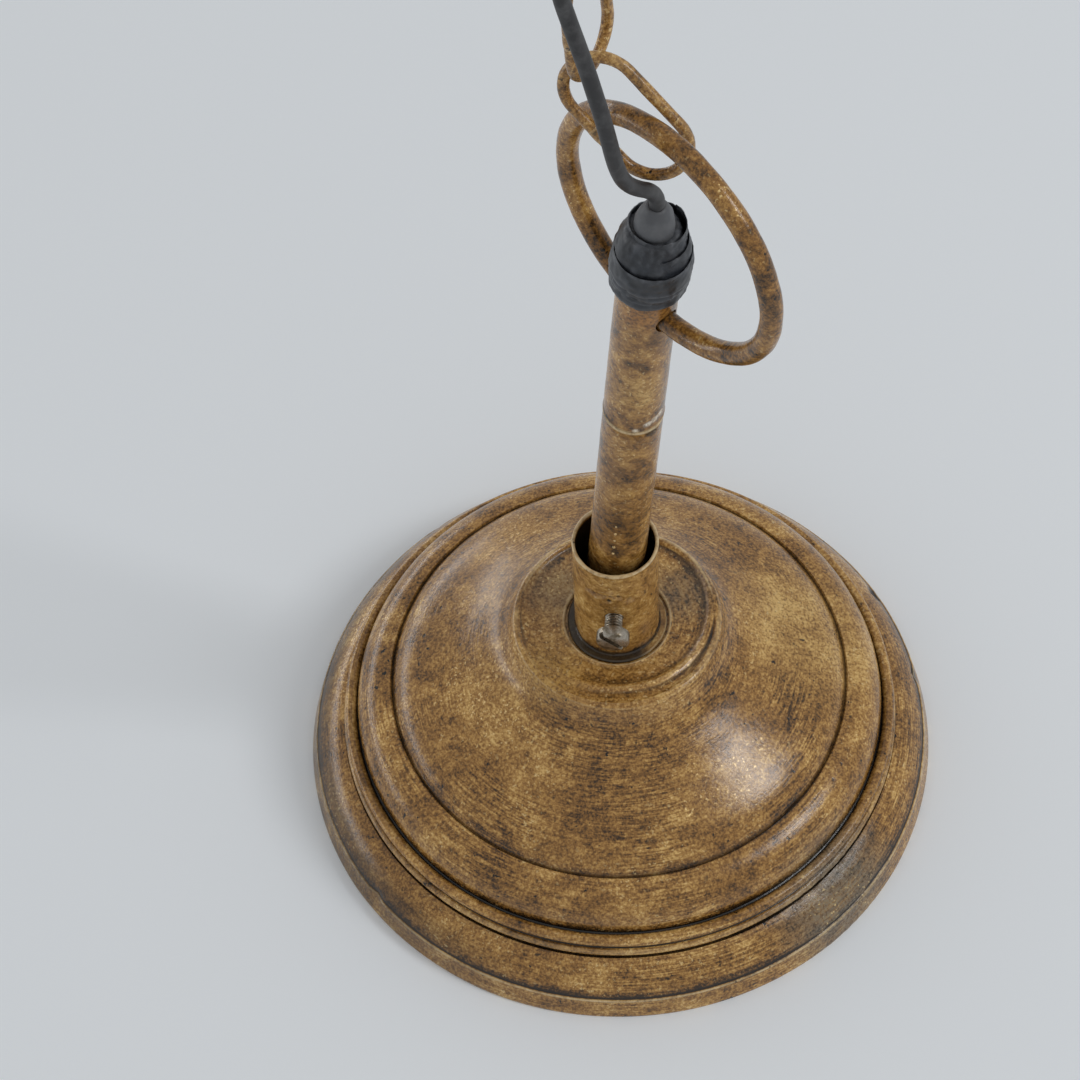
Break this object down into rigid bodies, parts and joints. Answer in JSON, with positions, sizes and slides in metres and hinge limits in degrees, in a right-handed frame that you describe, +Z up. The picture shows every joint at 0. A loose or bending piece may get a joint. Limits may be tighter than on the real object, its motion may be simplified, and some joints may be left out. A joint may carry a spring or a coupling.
{
  "type": "pendant lamp",
  "caption": "Pendant lamp: spun bell shade with collar and set screw, two-piece tube stem, small lampholder inside, pull ring, chain links, hook and cord",
  "frame": {"origin": "centre of the shade's rim, at the plane that the rim stands on", "axes": "+Z up through the collar; -Y toward the set screw; +X to the right seen from the screw; the stem leans 4 degrees to +X and 2 to -Y"},
  "size_m": [0.1456, 0.1456, 0.3049],
  "materials": {
    "antique_brass": "spun brass, dark antique finish, mottled",
    "worn_brass": "drawn brass, worn patches",
    "ring_brass": "golden-brown lacquered brass",
    "screw_steel": "zinc-plated steel",
    "black_tape": "black insulating tape, wound",
    "grey_boot": "grey rubber",
    "cord_sheath": "dark sheath",
    "brown_wire": "brown insulation",
    "blue_wire": "blue insulation",
    "porcelain": "white glazed porcelain",
    "white_plastic": "white nylon",
    "terminal_brass": "bright brass",
    "tinned_shell": "tinned sheet",
    "spring_steel": "spring steel"
  },
  "bodies": {
    "shade": {"shade": "antique_brass", "backing_plate": "antique_brass", "collar": "worn_brass", "collar_ring_nut": "worn_brass"},
    "set_screw": {"set_screw": "screw_steel"},
    "stem": {"lower_stem": "worn_brass", "upper_stem": "worn_brass", "stem_sleeve": "terminal_brass", "stem_lock_nut": "worn_brass", "tape_wrap": "black_tape", "cord_boot": "grey_boot", "cord": "cord_sheath", "live_wire": "brown_wire", "neutral_wire": "blue_wire", "lampholder_cap": "worn_brass", "porcelain_insert": "porcelain", "terminal_blocks": "terminal_brass", "terminal_screws": "screw_steel", "contact_spring": "spring_steel", "contact_rivet": "terminal_brass", "screw_shell": "tinned_shell", "shell_spacer": "porcelain", "lampholder_skirt": "worn_brass", "cord_connector": "white_plastic", "connector_tubes": "terminal_brass", "connector_screws": "screw_steel"},
    "centre_contact": {"centre_contact": "terminal_brass"},
    "ring": {"pull_ring": "ring_brass"},
    "link_1": {"chain_link_1": "ring_brass"},
    "link_2": {"chain_link_2": "ring_brass"},
    "hook": {"ceiling_hook": "ring_brass"}
  },
  "joints": [
    {"name": "set_screw_turn", "type": "hinge", "parent": "shade", "child": "set_screw", "pos_m": [-0.00146, -0.01392, 0.0705], "axis": [-0.1045, -0.9945, 0], "range_deg": [0, 1080]},
    {"name": "stem_slide", "type": "slide", "parent": "shade", "child": "stem", "axis": [0.0697, -0.0349, 0.997], "range_m": [-0.08, 0.004]},
    {"name": "centre_contact_press", "type": "slide", "parent": "stem", "child": "centre_contact", "axis": [0.0697, -0.0349, 0.997], "range_m": [0, 0.0015], "stiffness_N_per_m": 1000, "springref_m": -0.001, "deforming": ["contact_spring"]},
    {"name": "ring_swing", "type": "hinge", "parent": "stem", "child": "ring", "pos_m": [0.00731, -0.0035, 0.18122], "axis": [-0.6366, 0.7421, 0.2101], "range_deg": [0, 160]},
    {"name": "link_1_swing", "type": "hinge", "parent": "ring", "child": "link_1", "pos_m": [0.00422, 0.00149, 0.23349], "axis": [0.6013, -0.6843, 0.4126], "range_deg": [0, 130]},
    {"name": "link_2_swing", "type": "hinge", "parent": "link_1", "child": "link_2", "pos_m": [-0.0028, 0.00704, 0.24461], "axis": [-0.8958, 0.1456, -0.4199], "range_deg": [0, 140]},
    {"name": "hook_swing", "type": "hinge", "parent": "link_2", "child": "hook", "pos_m": [-0.00319, 0.00914, 0.26959], "axis": [-0.4877, -0.8728, -0.0204], "range_deg": [-90, 90]}
  ]
}
